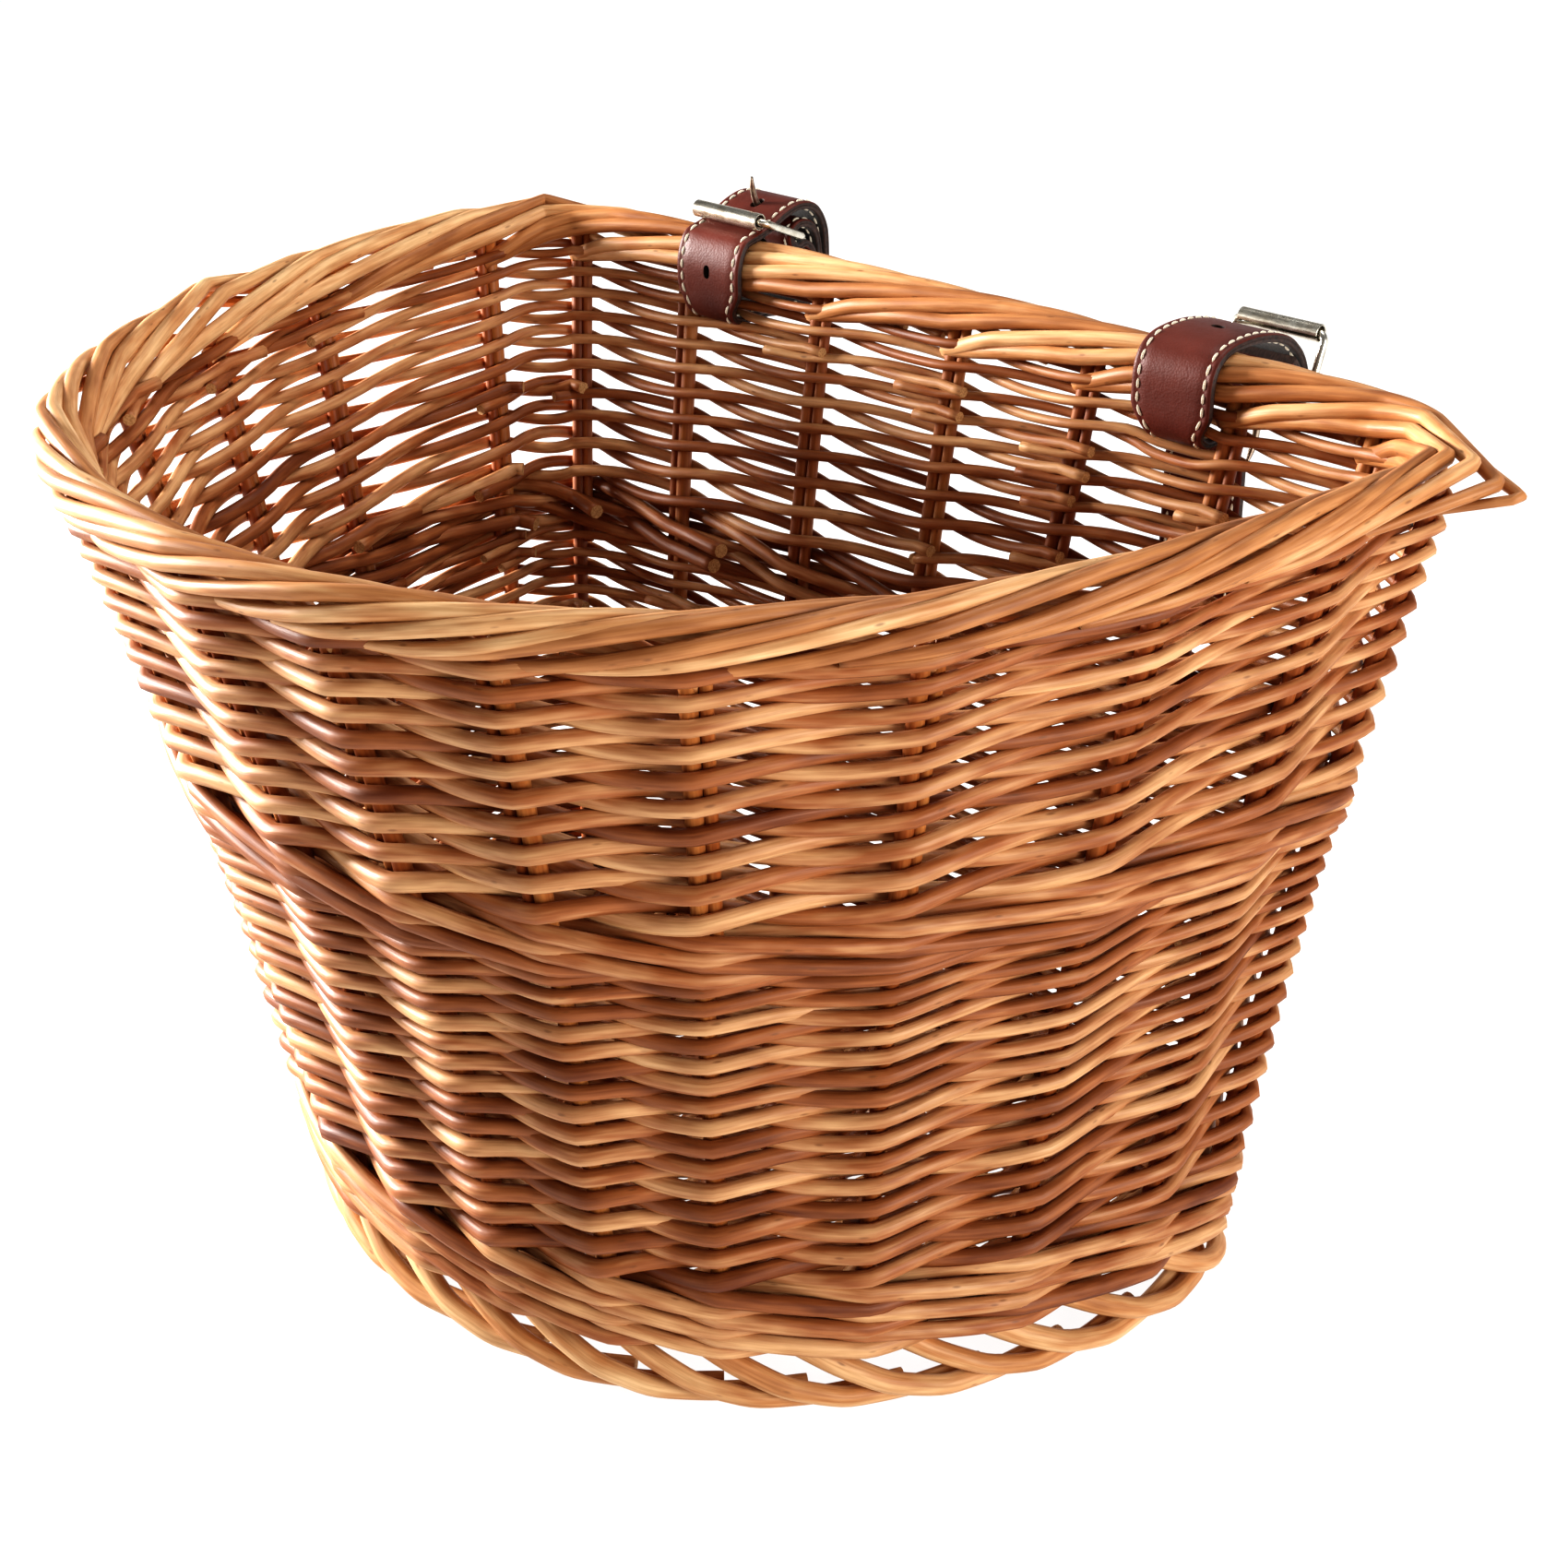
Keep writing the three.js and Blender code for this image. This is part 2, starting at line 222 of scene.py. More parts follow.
class Rods:
    """Round rods gathered into one mesh. Each has a tone of its own, and grain along it."""

    def __init__(self, seed):
        self.draw = random.Random(seed)
        self.points, self.faces, self.kinds, self.tones, self.grains = [], [], [], [], []
        self.count = 0

    def add(self, path, radius, sides=8, closed=False):
        path = np.asarray(path, float)
        n = len(path)
        radius = np.broadcast_to(radius, n)
        tone = self.draw.random()
        side, up = carried_frames(path, closed)
        turn = np.arange(sides) * 2 * math.pi / sides
        cosine, sine = np.cos(turn)[None, :, None], np.sin(turn)[None, :, None]
        rings = path[:, None] + radius[:, None, None] * (cosine * side[:, None] + sine * up[:, None])
        passed = np.concatenate([[0], np.cumsum(np.linalg.norm(np.diff(path, axis=0), axis=1))])
        grain = np.empty((n, sides, 3))
        grain[..., 0] = radius[:, None] * np.cos(turn) + self.draw.uniform(0, GRAIN_SPREAD)
        grain[..., 1] = radius[:, None] * np.sin(turn)
        grain[..., 2] = passed[:, None] + self.draw.uniform(0, GRAIN_SPREAD)
        ring = np.arange(n if closed else n - 1)[:, None]
        corner = np.arange(sides)[None, :]
        after, beside = (ring + 1) % n * sides, (corner + 1) % sides
        ring = ring * sides
        quads = [ring + corner, ring + beside, after + beside, after + corner]
        self.faces += (np.stack(quads, axis=-1).reshape(-1, 4) + self.count).tolist()
        self.kinds += [0] * (len(ring) * sides)
        if not closed:
            first = self.count + np.arange(sides)
            self.faces += [first[::-1].tolist(), (first + (n - 1) * sides).tolist()]
            self.kinds += [1, 1]
        self.points.append(rings.reshape(-1, 3))
        self.grains.append(grain.reshape(-1, 3))
        self.tones.append(np.full(n * sides, tone))
        self.count += n * sides

    def piece(self, name, materials):
        points = np.concatenate(self.points) * MM
        mesh = bpy.data.meshes.new(name)
        mesh.from_pydata(points.tolist(), [], self.faces)
        mesh.polygons.foreach_set("material_index", self.kinds)
        mesh.polygons.foreach_set("use_smooth", [kind == 0 for kind in self.kinds])
        tone = mesh.attributes.new("tone", "FLOAT", "POINT")
        tone.data.foreach_set("value", np.concatenate(self.tones))
        grain = mesh.attributes.new("grain", "FLOAT_VECTOR", "POINT")
        grain.data.foreach_set("vector", np.concatenate(self.grains).ravel())
        for material in materials:
            mesh.materials.append(material)
        return add_to_scene(name, mesh)


def place(piece, slot, *nodes, body="basket"):
    """Puts the piece on the body that it rides on and hides the CAD nodes that it replaces. The slot is
    not used.
    """
    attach(piece, body)
    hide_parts(*nodes)


# ---- materials -------------------------------------------------------------------------------------

class Surface:
    """A Principled material, with short names for the nodes that it needs."""

    def __init__(self, name):
        self.material = bpy.data.materials.new(name)
        self.material.use_nodes = True
        self.nodes = self.material.node_tree.nodes
        self.shader = self.nodes["Principled BSDF"]

    def link(self, a, b):
        self.material.node_tree.links.new(a, b)

    def set(self, **values):
        for name, value in values.items():
            self.shader.inputs[name.replace("_", " ")].default_value = value

    def attribute(self, name):
        node = self.nodes.new("ShaderNodeAttribute")
        node.attribute_name = name
        return node

    def places(self):
        return self.nodes.new("ShaderNodeTexCoord").outputs["Object"]

    def stretched(self, vector, scale):
        node = self.nodes.new("ShaderNodeMapping")
        node.inputs["Scale"].default_value = scale
        self.link(vector, node.inputs["Vector"])
        return node.outputs["Vector"]

    def noise(self, vector, scale, detail=3, roughness=0.55):
        node = self.nodes.new("ShaderNodeTexNoise")
        node.inputs["Scale"].default_value = scale
        node.inputs["Detail"].default_value = detail
        node.inputs["Roughness"].default_value = roughness
        self.link(vector, node.inputs["Vector"])
        return node.outputs["Fac"]

    def cells(self, vector, scale):
        node = self.nodes.new("ShaderNodeTexVoronoi")
        node.inputs["Scale"].default_value = scale
        self.link(vector, node.inputs["Vector"])
        return node

    def ramp(self, value, stops):
        node = self.nodes.new("ShaderNodeValToRGB")
        elements = node.color_ramp.elements
        for spot, color in stops[2:]:
            elements.new(spot)
        for element, (spot, color) in zip(sorted(elements, key=lambda e: e.position), sorted(stops)):
            element.position = spot
            element.color = (*color, 1)
        self.link(value, node.inputs["Fac"])
        return node.outputs["Color"]

    def math(self, kind, a, b):
        node = self.nodes.new("ShaderNodeMath")
        node.operation = kind
        for socket, value in zip(node.inputs, (a, b)):
            if isinstance(value, (int, float)):
                socket.default_value = value
            else:
                self.link(value, socket)
        return node.outputs[0]

    def mix(self, share, a, b, kind="MIX"):
        node = self.nodes.new("ShaderNodeMix")
        node.data_type = "RGBA"
        node.blend_type = kind
        for socket, value in zip((node.inputs[0], node.inputs[6], node.inputs[7]), (share, a, b)):
            if isinstance(value, (int, float)):
                socket.default_value = value
            elif isinstance(value, tuple):
                socket.default_value = (*value, 1)
            else:
                self.link(value, socket)
        return node.outputs[2]

    def spread(self, value, low, high):
        node = self.nodes.new("ShaderNodeMapRange")
        node.inputs["To Min"].default_value = low
        node.inputs["To Max"].default_value = high
        self.link(value, node.inputs["Value"])
        return node.outputs["Result"]

    def bump(self, height, strength, distance):
        node = self.nodes.new("ShaderNodeBump")
        node.inputs["Strength"].default_value = strength
        node.inputs["Distance"].default_value = distance
        self.link(height, node.inputs["Height"])
        self.link(node.outputs["Normal"], self.shader.inputs["Normal"])

    def color(self, output):
        self.link(output, self.shader.inputs["Base Color"])

    def roughness(self, output):
        self.link(output, self.shader.inputs["Roughness"])


def willow(name, dark, middle, pale):
    """Peeled willow: a tone for each rod, streaks along it, and small brown marks."""
    surface = Surface(name)
    tone = surface.attribute("tone").outputs["Fac"]
    grain = surface.attribute("grain").outputs["Vector"]
    streaks = surface.noise(surface.stretched(grain, (1, 1, 0.05)), 1.1, detail=4)
    patches = surface.noise(surface.stretched(grain, (0.25, 0.25, 0.045)), 1.0, detail=2)
    own_shade = surface.math("MULTIPLY", tone, 0.62)
    shade = surface.math("ADD", own_shade, surface.spread(patches, -0.35, 0.8))
    color = surface.ramp(shade, [(0.0, dark), (0.95, pale), (0.5, middle)])
    dim = surface.ramp(streaks, [(0.3, (0.66, 0.55, 0.44)), (0.62, (1, 1, 1))])
    color = surface.mix(0.8, color, dim, "MULTIPLY")
    marks = surface.cells(surface.stretched(grain, (0.3, 0.3, 0.085)), 1.0)
    spot = surface.ramp(marks.outputs["Distance"], [(0.05, (1, 1, 1)), (0.13, (0, 0, 0))])
    color = surface.mix(surface.math("MULTIPLY", spot, 0.55), color, (0.16, 0.06, 0.02))
    surface.color(color)
    surface.roughness(surface.spread(streaks, 0.62, 0.38))
    surface.bump(streaks, 0.35, 0.0004)
    surface.set(Specular_IOR_Level=0.36)
    return surface.material


def cut_willow():
    """The end of a rod where a knife went through it: wood speckled pale and brown."""
    surface = Surface("willow_cut_end")
    speckle = surface.noise(surface.places(), 1800, detail=3)
    surface.color(surface.ramp(speckle, [(0.3, (0.36, 0.17, 0.06)), (0.7, (0.66, 0.42, 0.2))]))
    surface.bump(speckle, 0.5, 0.0003)
    surface.set(Roughness=0.8)
    return surface.material


CUT = cut_willow()
# Each list holds a rod's material along its length and at its cut ends.
WEAVE = [willow("willow_weave", (0.155, 0.038, 0.009), (0.385, 0.14, 0.047), (0.71, 0.42, 0.21)), CUT]
BORDER = [willow("willow_border", (0.30, 0.11, 0.034), (0.56, 0.265, 0.105), (0.82, 0.54, 0.29)), CUT]
# The stakes' willow is darker than the weavers': painted shade, for stakes that stand back among the
# rods. The floor sticks use it too.
STAKE_PAINTED_SHADE = [willow("willow_stake", (0.20, 0.045, 0.01), (0.36, 0.11, 0.028), (0.54, 0.23, 0.07)), CUT]

# ---- the walls -------------------------------------------------------------------------------------

STEPS = 14             # points of a rod for each stake that it passes
UNEVEN = 0.28          # how far the rows rise and fall
WAVES = 8
sway = [random.uniform(-1, 1) for _ in range(WAVES)]
wave_start = [random.uniform(-1, 1) for _ in range(WAVES)]


def settle(u, z):
    """How far the weave rises and falls where the rods don't lie quite level."""
    turn = 2 * math.pi * u / STAKES
    waves = sum(sway[k] * np.sin((k + 2) * turn + 6 * wave_start[k]) for k in range(WAVES))
    return UNEVEN * waves * np.sin(z / 23 + 3 * np.sin(turn))


STRAP_PLACES = [even_place(number) for number in (1.75, 19.25)]
SLOT_LEVEL = 226
SLOT_SPREAD = dict(push=2.3, along=13, up=7)     # how far rods are pushed, and from how far away


def beside_straps(along, z):
    """The rods that pass a strap's slot are spread apart by it."""
    push = 0
    for spot in STRAP_PLACES:
        near = np.exp(-(((along - spot) / SLOT_SPREAD["along"]) ** 4))
        near = near * np.exp(-(((z - SLOT_LEVEL) / SLOT_SPREAD["up"]) ** 2))
        push = push + SLOT_SPREAD["push"] * near * np.sign(z - SLOT_LEVEL)
    return push


def swing(u, tight=0.975):
    """From 1 at the even stakes to -1 at the odd ones, nearly straight between them."""
    return np.arcsin(tight * np.cos(np.pi * u)) / math.asin(tight)


def stouter_in_front(along):
    """The thicker rods were used at the front."""
    return 0.95 - 0.15 * np.cos(2 * math.pi * along / GIRTH)


TWIST_RISE = 0.26      # how far a twisted rod goes up and down, in row heights
TAIL_TURN = 7          # how steeply a rod's ends turn into the basket, in mm for each stake passed
DOUBLED_RISE = 0.8     # how far two rods move apart where one takes over from the other, in radii


def weave_row(rods, level, pitch, radius):
    """Two rods twisted round each other, with a stake in each twist. They pass the stake level with
    each other, one on each side, and lie one over the other half way to the next, so there are gaps
    on both sides of every stake. A rod's ends lie inside the wall."""
    seam = rods.draw.randrange(STAKES)
    middle = seam + rods.draw.randrange(8, 14)
    for side in (1, -1):
        own = rods.draw.uniform(-0.15, 0.15)
        for start, end in ((seam, middle), (middle, seam + STAKES)):
            # the rod's ends are at stakes that it passes on the inside
            first, last = (n + (n + (side > 0)) % 2 for n in (start, end))
            first_step = first * STEPS - rods.draw.randint(2, 4)
            last_step = last * STEPS + rods.draw.randint(3, 5)
            u = np.arange(first_step, last_step) / STEPS
            past = np.maximum(np.maximum(first - u, u - last), 0)
            share = (u - u[0]) / (u[-1] - u[0])
            thick = radius * (1.07 - 0.14 * share) * stouter_in_front(along_stakes(u))
            held = np.clip(u, first, last)
            out = side * swing(held) * (STAKE_RADIUS + thick) - TAIL_TURN * past
            doubled = np.clip(1 - (u - first), 0, 1) - np.clip(1 - (last - u), 0, 1)
            z = level + side * TWIST_RISE * pitch * np.sin(np.pi * held) + own + settle(u, level)
            z = z + DOUBLED_RISE * radius * doubled
            rods.add(straightened(u, z + beside_straps(along_stakes(u), z), out), thick)


def stretches(draw):
    """Where the two rods of one strand of a wale begin and end, in stakes. They overlap by three."""
    start = draw.randrange(STAKES // 3) * 3
    middle = start + STAKES // 3 // 2 * 3
    return [(start, middle + 3), (middle, start + STAKES + 3)]


def waling(u):
    """A rod that passes outside two stakes and inside the third, from 1 to -1."""
    t = np.mod(u, 3)
    hold = 1 + 0.14 * np.sin(np.pi * (t - 1))
    return np.where(t < 1, -swing(t), np.where(t < 2, hold, swing(t - 2)))


WALE_RISE = 1.25       # how far a waled rod goes up and down, in radii


def wale_row(rods, level, radius, poke):
    """Three rods, each outside two stakes and inside the next, that pass over one another. Where poke
    isn't 0, each begins with a loose end that stands into the basket."""
    for strand in range(3):
        for start, end in stretches(rods.draw):
            start, end = start + strand, end + strand
            u = np.arange(start * STEPS, end * STEPS + 1) / STEPS
            if poke:
                tail = rods.draw.randrange(4, 9)
                u = np.concatenate([u[0] - np.arange(tail, 0, -1) / STEPS, u])
            share = (u - u[0]) / (u[-1] - u[0])
            thick = radius * (1.1 - 0.22 * share)
            past = np.maximum(start - u, 0)
            out = np.where(past > 0, -1, waling(u - strand)) * (STAKE_RADIUS + thick) - poke * past**1.2
            z = level + WALE_RISE * radius * np.sin(2 * np.pi * (u - strand) / 3) + settle(u, level)
            z = z + past * rods.draw.uniform(-3, 14)
            rods.add(straightened(u, z, out), thick)


def graded(count, top_share):
    """Shares of a band's height from its bottom, where the rods are thick, to its thin top ones."""
    sizes = np.linspace(1, top_share, count)
    sizes = sizes / sizes.sum()
    return list(zip(np.cumsum(sizes) - sizes / 2, sizes))


TOP_ROW_SHARE = 0.66   # a weave's top row is this much as high as its bottom one


def weave_band(node, rows, radii, extra=0):
    bottom, top = bottom_and_top(node)
    top += extra
    for i, (spot, size) in enumerate(graded(rows, TOP_ROW_SHARE)):
        rods = Rods(f"{node} {i}")
        radius = radii[0] + (radii[1] - radii[0]) * spot
        weave_row(rods, bottom + spot * (top - bottom), size * (top - bottom), radius)
        place(rods.piece(f"{node}_row_{i + 1:02d}", WEAVE), "willow_weave", node)


def wale_band(node, rows, radius, poke):
    bottom, top = bottom_and_top(node)
    for i in range(rows):
        rods = Rods(f"{node} {i}")
        wale_row(rods, bottom + (i + 0.5) * (top - bottom) / rows, radius, poke)
        place(rods.piece(f"{node}_row_{i + 1}", WEAVE), "willow_weave", node)


def make_walls():
    wale_band("base_wale", rows=3, radius=2.4, poke=0)
    weave_band("lower_weave", rows=15, radii=(2.45, 1.75))
    wale_band("middle_wale", rows=2, radius=2.15, poke=13)
    weave_band("upper_weave", rows=10, radii=(2.35, 1.75), extra=2)


SECOND_ROD = dict(radius=1.7, aside=3.9)


def make_stakes():
    """A thick rod for each stake, with a thinner one pushed in beside it above the middle wale."""
    bottom, _ = bottom_and_top("base_wale")
    joint, _ = bottom_and_top("middle_wale")
    _, top = bottom_and_top("upper_weave")
    for i in range(STAKES):
        rods = Rods(f"stake {i}")
        beside = AWAY_FROM_STRAP.get(i, rods.draw.choice((1, -1)))
        second = (joint - 6, SECOND_ROD["radius"], SECOND_ROD["aside"] * beside)
        for low, radius, aside in ((bottom - 3, STAKE_RADIUS, 0), second):
            z = np.linspace(low, top + 4, 24)
            lean = rods.draw.uniform(-0.5, 0.5) * np.sin(z / 40 + i)
            thick = radius * np.linspace(1.08, 0.92, len(z))
            rods.add(wall(stake_places[i] + aside + lean, z), thick, sides=10)
        # the stake's darker willow is painted shade
        place(rods.piece(f"stake_rod_{i + 1:02d}", STAKE_PAINTED_SHADE), "willow_stake", f"stake_{i + 1:02d}")


# ---- the borders -----------------------------------------------------------------------------------

# Where these begin along the rim. FRONT is the front's middle.
_, LEFT_CORNER, LEFT_SIDE, FRONT, RIGHT_CORNER, *_ = CURVE_ENDS
CORNERS = [
    # where along the rim, how far its two legs reach, how far the outermost rod stands out and up,
    # and how fast the points of the other rods fall back from it towards the wall
    dict(spot=RIGHT_CORNER - 3, before=50, after=32, most=29, rise=9, spread=3),
    dict(spot=(LEFT_CORNER + LEFT_SIDE) / 2, before=30, after=30, most=9, rise=3, spread=2.5),
    dict(spot=LEFT_SIDE + 0.34 * (FRONT - LEFT_SIDE), before=36, after=32, most=10, rise=3, spread=1.6),
]


def at_place(spot, away, values):
    """The row of values where away passes the spot."""
    order = np.argsort(away)
    return np.array([np.interp(spot, away[order], column[order]) for column in values.T])


def kinked(path, along, share):
    """The border rods were bent sharply at the corners, so two straight legs meet there in a point
    that stands out of the rim. The further a rod has run, the further out its point is."""
    path = path.copy()
    for corner in CORNERS:
        away = np.mod(along - corner["spot"] + GIRTH / 2, GIRTH) - GIRTH / 2
        low, high = max(-corner["before"], away.min()), min(corner["after"], away.max())
        passes_by = low <= -4 and high >= 4 and high - low <= GIRTH / 2
        if not passes_by:
            continue
        passed = at_place(0, away, share[:, None])[0]
        start, point, end = (at_place(spot, away, path) for spot in (low, 0, high))
        outward = wall(corner["spot"], point[2], 1)[0] - wall(corner["spot"], point[2], 0)[0]
        apex = outward * corner["most"] + np.array([0, 0, corner["rise"]])
        point = point + apex * passed ** corner["spread"]
        before, after = (away > low) & (away <= 0), (away > 0) & (away < high)
        legs = path.copy()
        legs[before] = start + (point - start) * (away[before, None] - low) / -low
        legs[after] = point + (end - point) * away[after, None] / high
        path += (legs - path) * min(1, 2.5 * passed)
    return path


BORDER_RUN = 3.5       # stakes that each border rod passes before it ends
BORDER_RADIUS = 2.35
BORDER_WIDE = 5.5      # from the middle of the border to its rods, across and upwards
BORDER_TALL = 6.8
BORDER_ANGLES = (222, -68)     # round the border's section in degrees, at a rod's start and its end


def make_top_border():
    """Two rods rise at each stake, bend over, cross the rim from inside to outside, and lie on the
    others. The second of the two goes half way to the next stake before it bends."""
    bottom, top = bottom_and_top("top_border")
    middle = (bottom + top) / 2 - 1.4
    start_angle, end_angle = BORDER_ANGLES
    rods = Rods("top border")
    for i in range(2 * STAKES):
        run = BORDER_RUN + rods.draw.uniform(-0.25, 0.25)
        # p counts the stakes passed since the rod's own one
        p = np.concatenate([np.linspace(-0.05, 0.25, 9)[:-1], np.linspace(0.25, run, int(run * 22))])
        share = np.clip(p / run, 0, 1)
        angle = np.radians(start_angle + (end_angle - start_angle) * share + rods.draw.uniform(-4, 4))
        risen = np.sin(np.pi / 2 * np.clip((p + 0.05) / 0.45, 0, 1))
        tucked = 1 - 0.3 * np.clip(share * 8 - 7, 0, 1)
        loose = 1 + rods.draw.uniform(-0.05, 0.05)
        out = BORDER_WIDE * loose * np.cos(angle) * risen * tucked
        z = (bottom - 4) * (1 - risen) + (middle + BORDER_TALL * loose * np.sin(angle)) * risen
        u = i // 2 - p - i % 2 * np.clip(p, 0, 0.5)
        thick = BORDER_RADIUS * (1.04 - 0.24 * share - 0.35 * share**7)
        path = straightened(u, z, out, share=0.45)
        rods.add(kinked(path, along_stakes(u), share), thick, sides=10)
    place(rods.piece("top_border_rods", BORDER), "willow_border", "top_border")


def smooth(p, knots, values):
    """Straight lines from value to value at the knots, with their corners rounded."""
    fine = np.linspace(knots[0], knots[-1], 400)
    rough = np.interp(fine, knots, values)
    width = 25
    padded = np.concatenate([np.full(width, rough[0]), rough, np.full(width, rough[-1])])
    weights = np.hanning(2 * width + 1)
    soft = np.convolve(padded, weights / weights.sum(), "same")
    return np.interp(p, fine, soft[width:-width])


FOOT_RODS = 28
FOOT_RADIUS = 3.3
FOOT_RUN = 3.2         # foot rods that each one passes before it ends


def make_foot_border():
    """Thick rods that come out from under the wall, go down outside the last one and end beneath."""
    _, top = bottom_and_top("foot_border")
    rods = Rods("foot border")
    spacing = GIRTH / FOOT_RODS
    knots = [-0.55, 0, 0.5, 1.0, 1.6, 2.3, FOOT_RUN]
    heights = [top + 7, top + 1, 15.5, 9.6, 5.4, 4.0, 4.2]
    offsets = [-3, -2.2, 1.6, 4.4, 4.2, 0.5, -4.5]
    p = np.linspace(knots[0], FOOT_RUN, 40)     # foot rods passed since the rod came out
    for i in range(FOOT_RODS):
        start = i * spacing + rods.draw.uniform(-3.5, 3.5)
        stoutest = FOOT_RADIUS + rods.draw.uniform(-0.25, 0.25)
        thick = stoutest * (1 - 0.3 * np.clip(p / FOOT_RUN, 0, 1))
        z = smooth(p, knots, heights) + rods.draw.uniform(-0.3, 0.3)
        z = np.maximum(z, thick + 0.1)
        path = wall(start + p * spacing, z, smooth(p, knots, offsets))
        rods.add(path, thick, sides=12)
    place(rods.piece("foot_border_rods", BORDER), "willow_border", "foot_border")


# ---- the floor -------------------------------------------------------------------------------------

FLOOR_STICKS = 7
STICK_RADIUS = 2.5
FLOOR_ROD = 1.6        # radius
FLOOR_WAVE = 2.9       # how far a floor rod goes over and under the sticks
FLOOR_STEPS = 54


def make_floor():
    """Rods woven over and under sticks that run from side to side."""
    low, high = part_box("floor_weave")
    level = (low.z + high.z) / 2 / MM
    edge = wall(np.linspace(0, GIRTH, 600, endpoint=False), level, -4.5)
    rows = np.linspace(high.y / MM - 16, low.y / MM + 26, FLOOR_STICKS)

    def span(at, axis):
        """Where a line across the floor meets its edge, on both sides."""
        near = edge[np.abs(edge[:, axis] - at) < 2.5]
        return near[:, 1 - axis].min(), near[:, 1 - axis].max()

    sticks = Rods("floor sticks")
    for y in rows:
        left, right = span(y, 1)
        x = np.linspace(left, right, 12)
        path = np.column_stack([x, np.full(12, y), np.full(12, level)])
        sticks.add(path, STICK_RADIUS, sides=10)
    nodes = ("floor_stick_1", "floor_stick_2", "floor_stick_3")
    # the sticks take the stakes' darker willow, which is painted shade
    place(sticks.piece("floor_sticks", STAKE_PAINTED_SHADE), "willow_weave", *nodes)

    weavers = Rods("floor weave")
    step = abs(rows[1] - rows[0])
    for i, x in enumerate(np.arange(low.x / MM + 5, high.x / MM - 4, 2 * FLOOR_ROD * 1.04)):
        near, far = span(x, 0)
        y = np.linspace(near, far, FLOOR_STEPS)
        thick = FLOOR_ROD * weavers.draw.uniform(0.9, 1.08)
        z = level + (-1) ** i * FLOOR_WAVE * np.cos(np.pi * (y - rows[0]) / step)
        path = np.column_stack([np.full(FLOOR_STEPS, x) + 0.4 * np.sin(y / 17 + i), y, z])
        weavers.add(path, thick)
    place(weavers.piece("floor_weavers", WEAVE), "willow_weave", "floor_weave")


make_walls()
make_stakes()
make_top_border()
make_foot_border()
make_floor()

# ---- the straps ------------------------------------------------------------------------------------

def leather_grain():
    surface = Surface("leather_grain_side")
    places = surface.places()
    pores = surface.cells(places, 1500)
    creases = surface.noise(places, 420, detail=5, roughness=0.65)
    cloud = surface.noise(places, 38, detail=3)
    surface.color(surface.ramp(cloud, [(0.3, (0.078, 0.013, 0.007)), (0.72, (0.155, 0.031, 0.018))]))
    height = surface.math("ADD", surface.math("MULTIPLY", pores.outputs["Distance"], 0.6), creases)
    surface.bump(height, 0.35, 0.0002)
    surface.roughness(surface.spread(creases, 0.6, 0.42))
    surface.set(Specular_IOR_Level=0.36)
    return surface.material


def leather_flesh():
    surface = Surface("leather_flesh_side")
    places = surface.stretched(surface.places(), (1, 0.5, 0.5))
    fibres = surface.noise(places, 1100, detail=6, roughness=0.75)
    surface.color(surface.ramp(fibres, [(0.3, (0.012, 0.009, 0.008)), (0.75, (0.055, 0.042, 0.036))]))
    surface.bump(fibres, 0.7, 0.0003)
    surface.set(Roughness=0.92, Sheen_Weight=0.25, Sheen_Roughness=0.5)
    return surface.material


def leather_edge():
    surface = Surface("leather_edge")
    fibres = surface.noise(surface.stretched(surface.places(), (3, 1, 1)), 700, detail=4)
    surface.color(surface.ramp(fibres, [(0.35, (0.018, 0.009, 0.007)), (0.75, (0.075, 0.034, 0.022))]))
    surface.bump(fibres, 0.5, 0.0003)
    surface.set(Roughness=0.55)
    return surface.material


def linen_thread():
    surface = Surface("linen_thread")
    twist = surface.noise(surface.attribute("grain").outputs["Vector"], 3.2, detail=2)
    surface.color(surface.ramp(twist, [(0.3, (0.52, 0.44, 0.31)), (0.7, (0.86, 0.80, 0.66))]))
    surface.bump(twist, 0.6, 0.0002)
    surface.set(Roughness=0.75, Sheen_Weight=0.3)
    return surface.material


LEATHER = [leather_grain(), leather_edge(), leather_flesh()]
THREAD = [linen_thread()] * 2

STRAP_X = {"left": -90.58, "right": 82.75}
STRAP_HALF = 13
NECK_HALF = 9.5        # where the strap goes through the wall's slot
NECK_FADE = 8          # over which the strap gets its full width again
SLOT_Y, SLOT_HALF_DEPTH, SLOT_HALF_HEIGHT = -1, 7, 2.6
TIP_HALF = 4.5
TIP_LENGTH = 9         # over which the strap's end is rounded
STRAP_STEP = 0.7       # from one ring of the strap's mesh to the next
STITCH = dict(pitch=3.7, length=2.9, radius=0.42, inset=2.4)
STRAP_HALF_PROFILE = [
    # share of the half width, inset from it, height from the middle, and the next face's LEATHER
    (0, 0, 1.3, 0), (0.3, 0, 1.3, 0), (0.6, 0, 1.29, 0), (1, 3.5, 1.26, 0), (1, 2.95, 1.12, 0),
    (1, 2.4, 1.06, 0), (1, 1.85, 1.12, 0), (1, 1.35, 1.24, 0), (1, 0.65, 1.18, 0), (1, 0.15, 0.85, 1),
    (1, 0, 0.35, 1), (1, 0.24, 0, 1), (1, 0, -0.35, 1), (1, 0.1, -0.9, 1), (1, 0.5, -1.22, 2),
    (1, 1.3, -1.3, 2), (0.5, 0, -1.3, 2), (0, 0, -1.3, 2),
]
